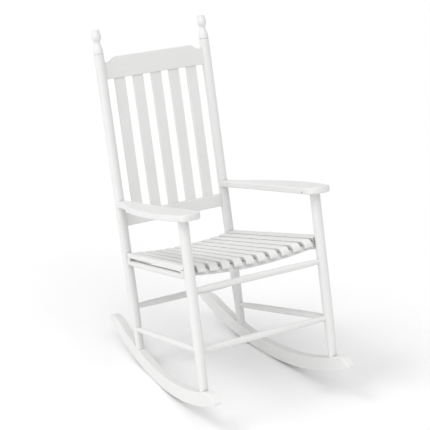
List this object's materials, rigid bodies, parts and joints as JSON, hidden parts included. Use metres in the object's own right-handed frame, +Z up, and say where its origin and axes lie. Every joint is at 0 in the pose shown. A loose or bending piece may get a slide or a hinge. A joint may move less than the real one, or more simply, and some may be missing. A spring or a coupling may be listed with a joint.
{
  "type": "rocking chair",
  "caption": "White painted wooden porch rocking chair with turned posts, a slatted back, a dished slat seat, flat paddle arms and bent rockers.",
  "frame": {"origin": "centre of the overall box on the floor, where the rockers' low points touch", "axes": "+Z up, -Y the way the sitter faces, +X the sitter's left"},
  "size_m": [0.6, 0.9272, 1.1516],
  "materials": {
    "painted_wood": "satin white paint",
    "bare_wood": "sanded end grain under thin paint",
    "zinc_steel": "zinc plated"
  },
  "bodies": {
    "root": {"rear_post_left": "painted_wood", "rear_post_right": "painted_wood", "front_post_left": "painted_wood", "front_post_right": "painted_wood", "arm_left": "painted_wood", "arm_right": "painted_wood", "rocker_left": "painted_wood", "rocker_right": "painted_wood", "side_stretcher_upper_left": "painted_wood", "side_stretcher_upper_right": "painted_wood", "side_stretcher_lower_left": "painted_wood", "side_stretcher_lower_right": "painted_wood", "crest_rail": "painted_wood", "lower_back_rail": "painted_wood", "back_slat_1": "painted_wood", "back_slat_2": "painted_wood", "back_slat_3": "painted_wood", "back_slat_4": "painted_wood", "back_slat_5": "painted_wood", "seat_front_rail": "painted_wood", "seat_rear_rail": "painted_wood", "seat_slat_01": "painted_wood", "seat_slat_02": "painted_wood", "seat_slat_03": "painted_wood", "seat_slat_04": "painted_wood", "seat_slat_05": "painted_wood", "seat_slat_06": "painted_wood", "seat_slat_07": "painted_wood", "seat_slat_08": "painted_wood", "seat_slat_09": "painted_wood", "seat_slat_10": "painted_wood", "seat_slat_11": "painted_wood", "seat_slat_12": "painted_wood", "front_stretcher_upper": "painted_wood", "front_stretcher_lower": "painted_wood", "rear_stretcher": "painted_wood", "arm_tenon_pins": "bare_wood", "slat_screws": "zinc_steel", "seat_screws": "zinc_steel", "rocker_screws": "zinc_steel", "arm_screws": "zinc_steel"}
  },
  "joints": []
}
